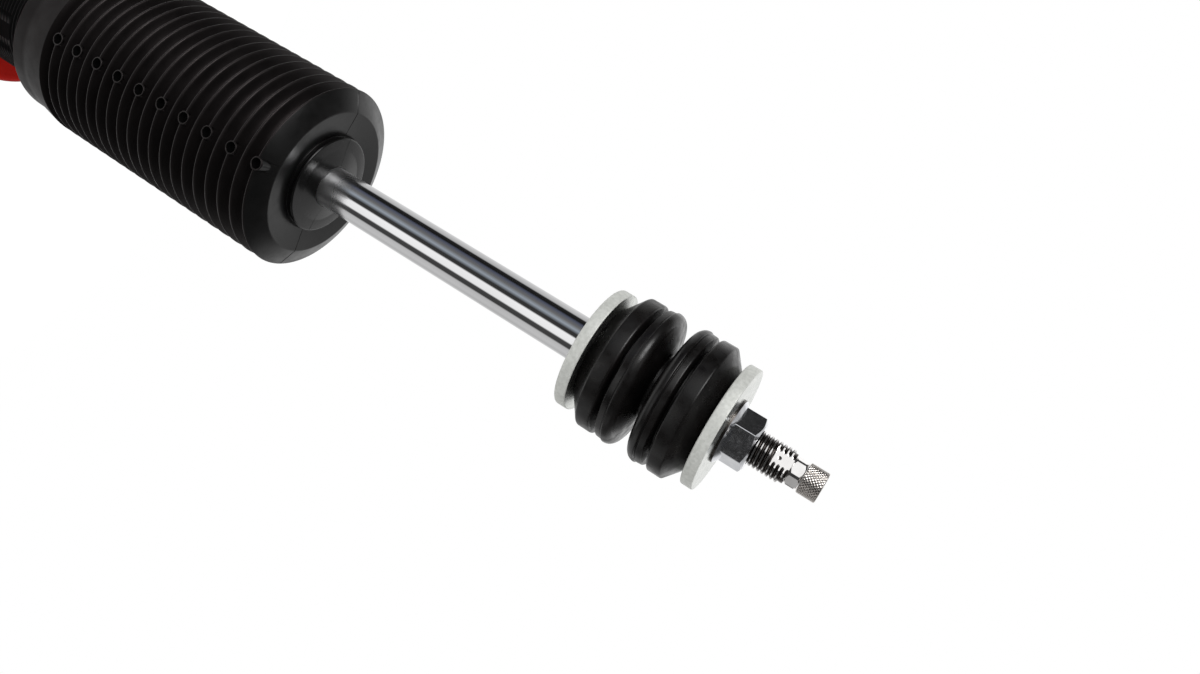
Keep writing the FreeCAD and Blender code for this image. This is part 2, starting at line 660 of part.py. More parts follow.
def build_piston():
    """Piston end of the rod: bumper, stop washer, shim stacks, ported piston, band and nut."""
    edge, length, half_band = d("rod_edge"), d("piston_length"), d("band_length / 2")
    turned("rebound_bumper", ring_outline(
        d("rod_radius + ring_gap"), d("rod_radius + bumper_wall"), d("bumper_length"), edge), bumper_base)
    turned("stop_washer", ring_outline(
        shank_fit, f"{stud} + {d('stop_washer_wall')}", d("stop_washer_thickness"), edge), stop_washer_base)
    shim_stack("compression_shims", upper_shims_base, True)
    body = new_body("piston", piston_base)
    side = f"({tube_bore} - {d('piston_skirt_gap')})"
    groove = f"({tube_bore} - {d('band_thickness + ring_gap')})"
    low = f"({length} / 2 - {half_band} - {d('ring_gap')})"
    high = f"({length} / 2 + {half_band} + {d('ring_gap')})"
    revolve(body, "blank", [
        (shank_fit, "0"), (side, "0"), (side, low), (groove, low), (groove, high), (side, high),
        (side, length), (shank_fit, length)])
    port = new_sketch(body, "port_outline", "XY_Plane")
    draw_circle(port, f"({shank_fit} + {groove}) / 2", "0", d("port_radius"))
    cut = extrude(body, "Pocket", "port", port, length, reverse=True)
    polar_copies(body, "copies", cut, d("ports"))
    turned("piston_band", ring_outline(
        f"{tube_bore} - {d('band_thickness')}", f"{tube_bore} - {d('running_gap')}", d("band_length")),
        f"{piston_base} + {length} / 2 - {half_band}")
    shim_stack("rebound_shims", lower_shims_base, False)
    nut = new_body("piston_nut", piston_nut_base)
    hex_nut(nut, f"(2 * ({stud} + {d('piston_nut_wall')}))", d("piston_nut_length"))


def washer(label, place):
    """Thick washer on the stud."""
    turned(label, ring_outline(stud_fit, f"{stud} + {d('washer_wall')}", d("washer_thickness"),
                               d("washer_edge")), place)


def bushing_outline(end):
    """Mount bushing from its washer to the body panel: bevel, disc, groove, rounded ring and sloped end."""
    outer, bevel = d("bushing_radius"), d("bushing_bevel_length")
    disc = d("bushing_bevel_length + bushing_disc_length")
    ring = d("bushing_bevel_length + bushing_disc_length + bushing_groove_width")
    groove, edge, crown = d("bushing_radius - bushing_groove_depth"), d("bushing_round"), d("bushing_crown")
    return [(spacer_fit, "0"), (d("bushing_radius - bushing_bevel_width"), "0"), (outer, bevel),
            (outer, disc), (groove, disc), (groove, ring), (f"{outer} - {edge}", ring, edge),
            (outer, f"{ring} + {edge}", crown), (f"{outer} - {crown}", f"{ring} + {edge} + {crown}")] + end


def build_mount_stack():
    """Washers, rubber bushings, spacer and flange nut that clamp the body panel on the stud."""
    washer("lower_washer", shoulder)
    pilot, pilot_end = f"({spacer_fit} + {d('pilot_wall')})", f"{bushing_length} + {d('pilot_length')}"
    turned("lower_bushing", bushing_outline([
        (pilot, bushing_length), (pilot, pilot_end), (spacer_fit, pilot_end)]), lower_bushing_base)
    turned("spacer_sleeve", ring_outline(stud_fit, spacer, bushings_length), lower_bushing_base)
    socket = f"({pilot} + {d('seat_gap')})"
    socket_end = f"{bushing_length} - {d('pilot_length - bushing_gap + seat_gap')}"
    upper = turned("upper_bushing", bushing_outline([
        (socket, bushing_length), (socket, socket_end), (spacer_fit, socket_end)]), upper_washer_base)
    upper.Placement.Rotation = FreeCAD.Rotation(ACROSS_AXIS, 180)
    washer("upper_washer", upper_washer_base)
    nut = new_body("top_nut", nut_base, d("nut_turn"))
    width, height = f"(2 * ({stud} + {d('nut_wall')}))", d("nut_flange_height")
    hex_nut(nut, width, d("nut_length"))
    flange = f"({width} / sqrt(3) + {d('nut_flange_width')})"
    revolve(nut, "flange", [
        (shank_fit, "0"), (flange, "0"), (flange, f"{height} / 2"), (f"{width} / 2", f"{height} * 1.6"),
        (shank_fit, f"{height} * 1.6")])


def build_adjuster():
    """Knob on the rod's end, turning in the bore, and the needle that it drives down to the jet."""
    outer, length, edge = d("knob_radius"), d("knob_length"), d("knob_edge")
    stem_end, depth = d("-knob_stem_length"), d("knob_socket_depth - knob_stem_length")
    socket = f"({rod_bore} * {d('knob_socket_share')})"
    turned("adjuster_knob", [
        (socket, stem_end), (rod_bore_fit, stem_end), (rod_bore_fit, "0"), (outer, "0"),
        (outer, f"{length} - {edge}"), (f"{outer} - {edge}", length), ("0", length), ("0", depth),
        (socket, depth)], knob_base)
    seat, neck = d("jet_length + running_gap"), f"({rod_bore} * {d('needle_share')})"
    tip, tip_end = f"({jet} * {d('needle_tip_share')})", f"({seat} - {d('needle_tip_length')})"
    head_top = f"({knob_base} - {rod_base} - {d('knob_stem_length + needle_travel + seat_gap')})"
    head_base = f"({head_top} - {d('needle_head_length')})"
    pin, pin_top = f"({socket} - {d('running_gap')})", f"({head_top} + {d('knob_socket_depth')})"
    turned("adjuster_needle", [
        ("0", tip_end), (tip, tip_end), (f"{jet} - {d('running_gap')}", seat), (neck, seat),
        (neck, head_base), (rod_bore_fit, head_base), (rod_bore_fit, head_top), (pin, head_top),
        (pin, pin_top), ("0", pin_top)], rod_base)


build_bracket()
build_eye_bush()
build_lock_ring()
build_tube()
build_base()
build_floating_piston()
build_guide()
build_cap_and_stop()
build_boot()
build_rod()
build_piston()
build_mount_stack()
build_adjuster()
doc.recompute()

for item in doc.Objects:
    if "Invalid" in item.State or "Error" in item.State:
        raise RuntimeError(f"{item.Name} failed: {item.State}")
for part in parts:
    if part.Shape.isNull() or not part.Shape.isValid():
        raise RuntimeError(f"{part.Label} has no valid shape")

os.makedirs("parts", exist_ok=True)
for part in parts:
    part.Shape.exportStep(f"parts/{part.Label}.step")
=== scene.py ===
import bmesh
import bpy
import math
from mathutils import Matrix, Vector


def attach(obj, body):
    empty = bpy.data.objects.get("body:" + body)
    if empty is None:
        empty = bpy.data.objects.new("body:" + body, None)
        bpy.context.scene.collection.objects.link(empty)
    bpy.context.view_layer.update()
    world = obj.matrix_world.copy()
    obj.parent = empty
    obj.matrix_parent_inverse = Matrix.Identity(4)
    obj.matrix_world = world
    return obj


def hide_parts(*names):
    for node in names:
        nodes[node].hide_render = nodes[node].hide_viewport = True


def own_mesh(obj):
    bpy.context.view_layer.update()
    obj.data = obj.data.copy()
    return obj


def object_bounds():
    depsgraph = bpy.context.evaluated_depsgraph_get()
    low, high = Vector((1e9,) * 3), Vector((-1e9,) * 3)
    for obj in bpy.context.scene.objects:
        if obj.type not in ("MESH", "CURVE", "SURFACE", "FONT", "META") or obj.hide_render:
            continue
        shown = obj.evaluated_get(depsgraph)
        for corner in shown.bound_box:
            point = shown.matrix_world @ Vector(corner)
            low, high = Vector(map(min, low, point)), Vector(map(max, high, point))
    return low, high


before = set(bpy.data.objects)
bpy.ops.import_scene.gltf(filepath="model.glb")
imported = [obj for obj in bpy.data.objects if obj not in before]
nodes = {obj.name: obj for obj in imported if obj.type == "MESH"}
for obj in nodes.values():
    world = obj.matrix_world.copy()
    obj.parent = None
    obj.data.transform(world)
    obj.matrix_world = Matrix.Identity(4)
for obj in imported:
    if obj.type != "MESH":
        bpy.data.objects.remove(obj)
cad_low, cad_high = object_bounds()

# Sizes are millimetres in the part's own frame, with heights along +Z from the lower eye.
# A pair is a profile's point: radius and height.
MM = 0.001
FULL_TURN = 2 * math.pi

# Boot: bellows between a smooth collar and a bevelled end.
BOOT_RIM = 253.2
BOOT_COLLAR_BORE = 26.25
BOOT_COLLAR_RADIUS = 28.35
BOOT_COLLAR_FLARE = 259.0
BOOT_CREST_RADIUS = 30.2
BOOT_VALLEY_RADIUS = 26.6
BOOT_BORE = 25.2
BOOT_PITCH = 4.805
BOOT_SHOULDER = 269.8
BOOT_LAST_CREST = 19
BOOT_CEILING = 359.3
BOOT_NECK_BORE = 6.56
BOOT_LEAN = 1.5
LEAN_MEAN = 0.62
LEAN_SWING = 0.75

# Drop from a crest at distances from it along the axis: a thin round ridge on a hollow flank.
RIDGE = [(0.0, 0.0), (0.15, 0.03), (0.29, 0.12), (0.41, 0.27), (0.52, 0.5), (0.68, 0.95), (0.98, 1.7),
         (1.42, 2.6), (1.9, 3.25)]

# Boot's end, from the bevel in to the neck.
END_BEVEL = (23.8, 364.5)
END_DISH = (16.2, 363.7)
BOSS_GROOVE = (15.2, 363.2)
BOSS_UNDERCUT = (15.1, 364.5)
BOSS_LIP = (15.9, 365.2)
BOSS_EDGE = (15.9, 366.0)
BOSS_CONE = (12.0, 366.15)
NECK_LIP = (6.95, 366.95)
NECK_MOUTH = 366.8
SEAM_FACING = math.radians(13.4)
SEAM_HALF_WIDTH = math.radians(0.3)
SEAM_DEPTH = 0.32

# Where the end's and the boss's smoother rubber starts.
END_FOOT = 361.4
END_RADIUS = 29.6
BOSS_FOOT = 365.3
BOSS_RADIUS = 16.0

# Vents: a row of rings on every second ridge.
VENT_FACING = math.radians(-79.4)
VENT_RADIUS = 2.1
VENT_HOLE = 1.62
VENT_STEM = 0.9
VENT_BORE = 0.6
VENT_DEPTH = 0.5
VENT_ROOT = 26.2
LAST_VENT_ROOT = 25.2
VENT_CUT = 28.9

# Damper tube with its adjusting thread.
TUBE_FOOT = 28.3
TUBE_TOP = 268.0
TUBE_BORE = 18.0
TUBE_CREST = 22.6
TUBE_ROOT = 21.72
TUBE_PITCH = 1.5
TUBE_THREAD_START = 140.0
TUBE_THREAD_TOP = 266.5
TUBE_FLAT_FACING = math.radians(-54.0)
TUBE_FLAT_LEVEL = 21.45
TUBE_FLAT_TOP = 242.7

# Rod: chromed shaft, duller where the boot wipes it.
ROD_FOOT = 187.0
ROD_SHAFT_FOOT = 221.0
ROD_SHOULDER = 464.0
ROD_RADIUS = 6.5
ROD_BORE = 3.0
SHANK_RADIUS = 4.6
SHANK_TOP = 512.0
WIPED_FOOT = 369.0
WIPED_TOP = 382.0
WIPED_ROUGHNESS = 0.3

# Stud on the rod's end, with its flat, punch mark and hexagon.
STUD_FOOT = 511.5
STUD_THREAD_TOP = 525.3
STUD_TOP = 525.5
STUD_END_RADIUS = 3.6
STUD_CREST = 5.0
STUD_ROOT = 4.25
STUD_PITCH = 1.25
STUD_LAND = 0.15
STUD_GROOVE_RADIUS = 4.8
STUD_GROOVE_TOP = 525.2
STUD_FLAT_FOOT = 520.3
STUD_FLAT_LEVEL = 3.98
STUD_FLAT_FACING = math.radians(-104.0)
PUNCH_HEIGHT = 521.84
PUNCH_RADIUS = 0.5
PUNCH_DEPTH = 0.14
HEXAGON_FOOT = 525.4
HEXAGON_TOP = 528.8
HEXAGON_ACROSS = 7.4
HEXAGON_FLAT = 3.64
HEXAGON_TURN = math.radians(-16.0)
HEXAGON_CORNER = 1.0
HEXAGON_SLOPE = 1.3

# Adjuster knob with a crossed knurl, and its top's recess as radius and drop.
KNOB_FOOT = 528.95
KNOB_TOP = 534.3
KNOB_RADIUS = 4.25
KNOB_BORE = 1.6
KNOB_EDGE = 0.35
KNOB_EDGE_ROWS = 4
KNOB_ROWS = 72
KNOB_COLUMNS = 300
KNOB_RECESS = [(3.6, 0.0), (2.1, 0.05), (2.0, 1.5), (KNOB_BORE, 1.5)]
KNURL_LINES = 28
KNURL_DEPTH = 0.17
KNURL_NARROWNESS = 2.6
KNURL_CROSS_SHARE = 0.5

# Mount stack on the stud.
WASHER_RADIUS = 18.0
WASHER_FACE_RADIUS = 17.7
WASHER_BORE = 5.06
WASHER_THICKNESS = 3.5
LOWER_BUSHING = 467.5
UPPER_BUSHING = 503.5
BUSHING_LENGTH = 17.5
BUSHING_SEAT = 13.7
DISC_RADIUS = 19.9
DISC_BEVEL = 4.9
DISC_TOP = 9.2
GROOVE_RADIUS = 15.6
SHOULDER_RADIUS = 19.6
SHOULDER_FOOT = 10.7
CREASE_RADIUS = 19.75
CREASE_HEIGHT = 12.7
CROWN_RADIUS = 20.1
CROWN_TOP = 15.3
SPACER_FIT = 7.15
PILOT_RADIUS = 9.7
PILOT_TOP = 22.1
RECESS_RADIUS = 10.0
RECESS_FLOOR = 13.6

# Flange nut; heights from its foot.
NUT_FOOT = 507.0
NUT_PRISM_FOOT = 0.9
NUT_LENGTH = 8.1
NUT_ACROSS = 14.0
NUT_TURN = math.radians(12.0)
NUT_CORNER = 0.5
NUT_FLAT = 6.5
NUT_BORE = 5.02
NUT_SLOPE = 0.6
FLANGE_RADIUS = 9.28
FLANGE_RIM = 0.7
FLANGE_CONE = (7.0, 2.2)
FLANGE_BORE = 5.1


# Profiles and meshes.

def rounded(corners, steps=6):
    """Polyline through (r, z) corners; a third number is the radius of a fillet there."""
    points = []
    for index, corner in enumerate(corners):
        here = Vector(corner[:2])
        if len(corner) == 2:
            points.append(here)
            continue
        back = (Vector(corners[index - 1][:2]) - here).normalized()
        on = (Vector(corners[(index + 1) % len(corners)][:2]) - here).normalized()
        half = back.angle(on) / 2
        centre = here + (back + on).normalized() * (corner[2] / math.sin(half))
        spokes = [here + arm * (corner[2] / math.tan(half)) - centre for arm in (back, on)]
        start, end = (math.atan2(spoke.y, spoke.x) for spoke in spokes)
        sweep = (end - start + math.pi) % FULL_TURN - math.pi
        for step in range(steps + 1):
            angle = start + sweep * step / steps
            points.append(centre + Vector((math.cos(angle), math.sin(angle))) * corner[2])
    return points


def facing_vector(facing):
    """Unit vector square to the axis, at an angle round it."""
    return Vector((math.cos(facing), math.sin(facing), 0))


def arc_distance(angle, place):
    """Signed turn from a place to an angle."""
    return (angle - place + math.pi) % FULL_TURN - math.pi


def even_angles(count):
    """Angles of that many columns spread evenly round the axis."""
    return [FULL_TURN * index / count for index in range(count)]


def finer_angles(count, place, offsets):
    """Even columns, with closer ones at the offsets (degrees) on both sides of a place."""
    reach = math.radians(max(offsets)) + FULL_TURN / count / 2
    close = [place + math.radians(side * offset)
             for offset in offsets for side in ((1, -1) if offset else (1,))]
    far = [angle for angle in even_angles(count) if abs(arc_distance(angle, place)) > reach]
    return sorted(angle % FULL_TURN for angle in close + far)


def ring_of(r, z, angles):
    """Points at the angles on a circle round the axis."""
    return [(r * math.cos(angle), r * math.sin(angle), z) for angle in angles]


def loft(rings, closed=True):
    """Vertices and quads of rings of points, each joined to the next and the last to the first."""
    around = len(rings[0])
    verts = [point for ring in rings for point in ring]
    faces = []
    for row in range(len(rings) if closed else len(rings) - 1):
        above = (row + 1) % len(rings)
        for column in range(around):
            beside = (column + 1) % around
            faces.append((row * around + column, row * around + beside,
                          above * around + beside, above * around + column))
    return verts, faces


def turn_profile(points, angles, shape=None):
    """Closed loft of an (r, z) profile round the axis; shape may change r and z at an angle."""
    rings = []
    for point in points:
        ring = []
        for angle in angles:
            r, z = shape(point.x, point.y, angle) if shape else (point.x, point.y)
            ring.append((r * math.cos(angle), r * math.sin(angle), z))
        rings.append(ring)
    return loft(rings)


def make_piece(name, shells, body, replaced, sharp):
    """One piece from closed shells, each a list of skins of vertices (mm) and faces that meet edge to edge.

    It is shaded smooth but for edges over the sharp angle (degrees).
    """
    build = bmesh.new()
    for skins in shells:
        shell = bmesh.new()
        for verts, faces in skins:
            made = [shell.verts.new(Vector(point) * MM) for point in verts]
            for face in faces:
                shell.faces.new([made[index] for index in face])
        bmesh.ops.remove_doubles(shell, verts=shell.verts, dist=1e-7)
        bmesh.ops.recalc_face_normals(shell, faces=shell.faces)
        if shell.calc_volume(signed=True) < 0:
            bmesh.ops.reverse_faces(shell, faces=shell.faces)
        shell_mesh = bpy.data.meshes.new("shell")
        shell.to_mesh(shell_mesh)
        shell.free()
        build.from_mesh(shell_mesh)
        bpy.data.meshes.remove(shell_mesh)
    mesh = bpy.data.meshes.new(name)
    build.to_mesh(mesh)
    build.free()
    mesh.shade_smooth()
    mesh.set_sharp_from_angle(angle=math.radians(sharp))
    piece = bpy.data.objects.new(name, mesh)
    bpy.context.scene.collection.objects.link(piece)
    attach(piece, body)
    if replaced:
        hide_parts(replaced)
    return piece


def dress(piece, materials, choose=None):
    """Gives a piece its materials; choose picks one of them by the middle of a face (mm)."""
    for material in materials:
        piece.data.materials.append(material)
    if choose:
        for face in piece.data.polygons:
            face.material_index = int(choose(face.center / MM))


def screw_thread(low, high, pitch, root, crest, angles, land=0.12):
    """Outer skin of a screw thread between two plain rings at its root, faded in over an eighth of a turn.

    Each turn's section runs root, flank, crest, flank; a turn's last row is the next turn's first.
    """
    around = len(angles)
    turns = int((high - low) / pitch) - 1
    last = turns * around
    first = low + (high - low - (turns + 1) * pitch) / 2
    section = [(0.0, 0.0), (0.08, 0.02), (0.5 - land, 0.92), (0.5 - land * 0.45, 1.0),
               (0.5 + land * 0.45, 1.0), (0.5 + land, 0.92), (0.92, 0.02)]
    rows = len(section)
    verts = []
    for step in range(last + around + 1):
        angle = angles[step % around]
        fade = max(0.0, min(1.0, 8 * step / around, 8 * (last - step) / around))
        turn = step // around + angle / FULL_TURN
        for along, height in section if step <= last else section[:1]:
            r = root + (crest - root) * height * fade
            verts.append((r * math.cos(angle), r * math.sin(angle), first + (turn + along) * pitch))

    def index(step, row):
        if row == rows:
            step, row = step + around, 0
        return step * rows + row if step <= last else (last + 1) * rows + step - last - 1

    faces = [(index(step, row), index(step + 1, row), index(step + 1, row + 1), index(step, row + 1))
             for step in range(last) for row in range(rows)]
    for height, start in ((low, 0), (high, last)):
        ring = len(verts)
        verts += ring_of(root, height, angles)
        for column in range(around):
            face = [ring + column, ring + (column + 1) % around,
                    index(start + column + 1, 0), index(start + column, 0)]
            if start == 0 and column == around - 1:
                face[2:3] = [index(0, row) for row in range(rows + 1)]
            if start == last and column == 0:
                face += [index(last, row) for row in range(1, rows + 1)]
            faces.append(tuple(face))
    return verts, faces


def clip_to_flat(verts, facing, level, low, high):
    """Moves the points that stand beyond a flat onto it, between two heights."""
    normal = facing_vector(facing)
    clipped = []
    for point in verts:
        beyond = Vector(point).dot(normal) - level
        inside = beyond > 0 and low < point[2] < high
        clipped.append(tuple(Vector(point) - normal * beyond) if inside else tuple(point))
    return clipped


def punched(verts, facing, height, radius, depth):
    """Presses a round dimple into the side that faces one way."""
    normal = facing_vector(facing)
    centre = Vector((0, 0, height))
    pressed = []
    for point in verts:
        away = Vector(point) - centre
        off = (away - normal * away.dot(normal)).length
        if off < radius and away.dot(normal) > 0:
            point = Vector(point) - normal * depth * (1 - (off / radius) ** 2)
        pressed.append(tuple(point))
    return pressed


def rounded_hexagon(across, turn, corner, flat_steps=10, arc_steps=4):
    """Points of a hexagon with rounded corners, the first of them at the turn."""
    points = []
    reach = (across / 2 - corner) / math.cos(math.pi / 6)
    for side in range(6):
        towards = turn + side * FULL_TURN / 6
        for step in range(arc_steps + 1):
            bend = towards + (step / arc_steps - 0.5) * FULL_TURN / 6
            points.append(Vector((reach * math.cos(towards) + corner * math.cos(bend),
                                  reach * math.sin(towards) + corner * math.sin(bend))))
        start = points[-1]
        towards += FULL_TURN / 6
        bend = towards - FULL_TURN / 12
        end = Vector((reach * math.cos(towards) + corner * math.cos(bend),
                      reach * math.sin(towards) + corner * math.sin(bend)))
        points += [start.lerp(end, step / flat_steps) for step in range(1, flat_steps)]
    return points


def chamfered_prism(outline, foot, top, flat, bore, foot_slope, top_slope):
    """Rings of a bored prism whose corners are cut by cones that start at the flat's radius."""
    def drawn_in(limit, z):
        return [(*(point * min(1.0, limit / point.length)), z) for point in outline]

    def cut(z, slope):
        return [(*point, z + slope * max(0.0, point.length - flat)) for point in outline]

    return [drawn_in(bore, foot), drawn_in(flat, foot), cut(foot, foot_slope), cut(top, -top_slope),
            drawn_in(flat, top), drawn_in(bore, top)]


# Shader nodes. A value that isn't a socket is set on the node itself.
MIX_FIRST, MIX_SECOND, MIX_RESULT = 6, 7, 2


def spread(tree, factor, low, high, low_from=0.3, high_from=0.7):
    """The factor, from the usual range of noise or a given one, spread between two numbers."""
    node = tree.nodes.new("ShaderNodeMapRange")
    node.inputs["From Min"].default_value = low_from
    node.inputs["From Max"].default_value = high_from
    node.inputs["To Min"].default_value = low
    node.inputs["To Max"].default_value = high
    tree.links.new(factor, node.inputs["Value"])
    return node.outputs["Result"]


def blend(tree, factor, first, second):
    """A colour between two, by the factor."""
    node = tree.nodes.new("ShaderNodeMix")
    node.data_type = "RGBA"
    tree.links.new(factor, node.inputs["Factor"])
    for index, colour in ((MIX_FIRST, first), (MIX_SECOND, second)):
        if isinstance(colour, tuple):
            node.inputs[index].default_value = (*colour, 1)
        else:
            tree.links.new(colour, node.inputs[index])
    return node.outputs[MIX_RESULT]


def reckon(tree, operation, first, second):
    """Outcome of a maths operation on two values."""
    node = tree.nodes.new("ShaderNodeMath")
    node.operation = operation
    for index, value in enumerate((first, second)):
        if isinstance(value, float):
            node.inputs[index].default_value = value
        else:
            tree.links.new(value, node.inputs[index])
    return node.outputs["Value"]


# Materials. Each has colour, roughness and relief from noise in the piece's own space, in metres.

def noise(tree, scale, detail, stretch=(1, 1, 1)):
    """Noise with that many cells in a metre, stretched in the piece's own space."""
    place = tree.nodes.new("ShaderNodeTexCoord")
    mapping = tree.nodes.new("ShaderNodeMapping")
    mapping.inputs["Scale"].default_value = stretch
    tree.links.new(place.outputs["Object"], mapping.inputs["Vector"])
    node = tree.nodes.new("ShaderNodeTexNoise")
    node.inputs["Scale"].default_value = scale
    node.inputs["Detail"].default_value = detail
    node.inputs["Roughness"].default_value = 0.55
    tree.links.new(mapping.outputs["Vector"], node.inputs["Vector"])
    return node.outputs["Fac"]


def make_material(name, dark, light, rough, metallic=0.0, patch=60, grain=1500, relief=0.05,
                  stretch=(1, 1, 1), **sockets):
    """Principled surface: patchy colour, roughness in a range, and a fine grain as relief (mm)."""
    material = bpy.data.materials.new(name)
    material.use_nodes = True
    tree = material.node_tree
    shader = tree.nodes["Principled BSDF"]
    shader.inputs["Metallic"].default_value = metallic
    for socket, value in sockets.items():
        shader.inputs[socket.replace("_", " ")].default_value = value
    patches = spread(tree, noise(tree, patch, 4.0), 0.0, 1.0)
    tree.links.new(blend(tree, patches, dark, light), shader.inputs["Base Color"])
    tree.links.new(spread(tree, noise(tree, patch * 3, 4.0), *rough), shader.inputs["Roughness"])
    bump = tree.nodes.new("ShaderNodeBump")
    bump.inputs["Strength"].default_value = 1.0
    bump.inputs["Distance"].default_value = relief * MM
    tree.links.new(noise(tree, grain, 2.0, stretch), bump.inputs["Height"])
    tree.links.new(bump.outputs["Normal"], shader.inputs["Normal"])
    return material


def dull_foot(material, foot, top, extra):
    """Adds roughness at a height (mm), faded out towards another."""
    tree = material.node_tree
    socket = tree.nodes["Principled BSDF"].inputs["Roughness"]
    polished = socket.links[0].from_socket
    place = tree.nodes.new("ShaderNodeTexCoord")
    axes = tree.nodes.new("ShaderNodeSeparateXYZ")
    tree.links.new(place.outputs["Object"], axes.inputs["Vector"])
    fade = spread(tree, axes.outputs["Z"], extra, 0.0, foot * MM, top * MM)
    tree.links.new(reckon(tree, "ADD", polished, fade), socket)


LENGTHWISE = (1, 1, 0.02)
ROUND_THE_AXIS = (0.02, 0.02, 1)
WARM_SHEEN = (1.0, 0.87, 0.87, 1.0)

boot_rubber = make_material(
    "boot_rubber", (0.0015, 0.0013, 0.0013), (0.0032, 0.0028, 0.0028), (0.36, 0.5),
    patch=45, grain=2600, relief=0.02, Specular_IOR_Level=0.34, Specular_Tint=WARM_SHEEN)
bushing_rubber = make_material(
    "bushing_rubber", (0.0018, 0.0016, 0.0016), (0.006, 0.0051, 0.0049), (0.2, 0.42),
    patch=110, grain=2200, relief=0.006, Specular_IOR_Level=0.4)
collar_rubber = make_material(
    "collar_rubber", (0.002, 0.0017, 0.0017), (0.004, 0.0035, 0.0034), (0.42, 0.55),
    patch=45, grain=2600, relief=0.02, Specular_IOR_Level=0.12, Specular_Tint=WARM_SHEEN)
end_rubber = make_material(
    "end_rubber", (0.0015, 0.0015, 0.0015), (0.0032, 0.003, 0.003), (0.28, 0.38),
    patch=140, grain=2600, relief=0.01, Specular_IOR_Level=0.38)
boss_rubber = make_material(
    "boss_rubber", (0.0015, 0.0015, 0.0015), (0.0032, 0.003, 0.003), (0.2, 0.28),
    patch=140, grain=2600, relief=0.006, Specular_IOR_Level=0.38)
# Near-black rubber painted as shade into the vents' holes and bores.
vent_shade = make_material(
    "vent_shade", (0.0008, 0.0008, 0.0008), (0.0016, 0.0015, 0.0015), (0.7, 0.85),
    patch=200, grain=2600, relief=0.02, Specular_IOR_Level=0.03)
eye_rubber = make_material(
    "eye_rubber", (0.010, 0.010, 0.010), (0.020, 0.019, 0.018), (0.5, 0.7),
    patch=90, grain=2000, relief=0.05)
seal_rubber = make_material(
    "seal_rubber", (0.012, 0.012, 0.012), (0.02, 0.02, 0.02), (0.4, 0.55),
    patch=90, grain=2600, relief=0.02)
tube_steel = make_material(
    "tube_steel", (0.002, 0.002, 0.0021), (0.005, 0.0049, 0.005), (0.32, 0.46),
    patch=70, grain=3200, relief=0.015, stretch=ROUND_THE_AXIS, Specular_IOR_Level=0.1)
tube_milled = make_material(
    "tube_milled", (0.0015, 0.0015, 0.0016), (0.003, 0.003, 0.003), (0.4, 0.5),
    patch=70, grain=3200, relief=0.015, stretch=LENGTHWISE, Specular_IOR_Level=0.01)
bracket_paint = make_material(
    "bracket_paint", (0.014, 0.014, 0.0145), (0.022, 0.022, 0.023), (0.38, 0.5),
    patch=80, grain=900, relief=0.12)
ring_red = make_material(
    "ring_red", (0.29, 0.004, 0.0015), (0.36, 0.007, 0.003), (0.4, 0.52),
    patch=90, grain=2600, relief=0.02, stretch=ROUND_THE_AXIS, Specular_IOR_Level=0.05)
rod_chrome = make_material(
    "rod_chrome", (0.80, 0.80, 0.81), (0.86, 0.86, 0.87), (0.03, 0.07),
    metallic=1.0, patch=40, grain=4200, relief=0.0006, stretch=ROUND_THE_AXIS)
dull_foot(rod_chrome, WIPED_FOOT, WIPED_TOP, WIPED_ROUGHNESS)
washer_zinc = make_material(
    "washer_zinc", (0.50, 0.51, 0.48), (0.64, 0.65, 0.62), (0.4, 0.56),
    metallic=0.3, patch=1000, grain=2800, relief=0.05)
washer_face = make_material(
    "washer_face", (0.58, 0.60, 0.57), (0.70, 0.71, 0.68), (0.24, 0.34),
    metallic=1.0, patch=300, grain=2800, relief=0.01)
nut_zinc = make_material(
    "nut_zinc", (0.62, 0.63, 0.66), (0.74, 0.75, 0.77), (0.06, 0.19),
    metallic=1.0, patch=300, grain=1500, relief=0.009, stretch=LENGTHWISE)
stud_steel = make_material(
    "stud_steel", (0.82, 0.80, 0.79), (0.93, 0.92, 0.91), (0.06, 0.13),
    metallic=1.0, patch=300, grain=3000, relief=0.003)
# Dark steel painted as shade into the stud thread's grooves and onto the flange nut's rim.
painted_shade_steel = make_material(
    "painted_shade_steel", (0.07, 0.062, 0.058), (0.15, 0.134, 0.126), (0.22, 0.36),
    metallic=1.0, patch=300, grain=3000, relief=0.003)
knob_nickel = make_material(
    "knob_nickel", (0.66, 0.61, 0.57), (0.82, 0.78, 0.74), (0.12, 0.22),
    metallic=1.0, patch=500, grain=3000, relief=0.01)
sleeve_steel = make_material(
    "sleeve_steel", (0.46, 0.46, 0.47), (0.58, 0.58, 0.59), (0.28, 0.42),
    metallic=1.0, patch=160, grain=2600, relief=0.02)
inner_steel = make_material(
    "inner_steel", (0.38, 0.38, 0.39), (0.50, 0.50, 0.51), (0.22, 0.36),
    metallic=1.0, patch=160, grain=2600, relief=0.015, stretch=ROUND_THE_AXIS)
clip_steel = make_material(
    "clip_steel", (0.10, 0.10, 0.11), (0.16, 0.16, 0.17), (0.3, 0.42),
    metallic=0.9, patch=160, grain=2600, relief=0.015)
alloy = make_material(
    "alloy", (0.56, 0.56, 0.57), (0.66, 0.66, 0.67), (0.26, 0.4),
    metallic=1.0, patch=120, grain=2600, relief=0.015, stretch=ROUND_THE_AXIS)
valve_brass = make_material(
    "valve_brass", (0.52, 0.36, 0.12), (0.62, 0.44, 0.17), (0.24, 0.36),
    metallic=1.0, patch=200, grain=2600, relief=0.012)
bush_bronze = make_material(
    "bush_bronze", (0.36, 0.20, 0.09), (0.46, 0.27, 0.13), (0.28, 0.4),
    metallic=1.0, patch=160, grain=2600, relief=0.015, stretch=LENGTHWISE)
band_plastic = make_material(
    "band_plastic", (0.10, 0.065, 0.035), (0.13, 0.085, 0.05), (0.4, 0.52),
    patch=160, grain=2600, relief=0.012)
cap_plastic = make_material(
    "cap_plastic", (0.018, 0.018, 0.019), (0.026, 0.026, 0.027), (0.4, 0.52),
    patch=120, grain=2000, relief=0.03)
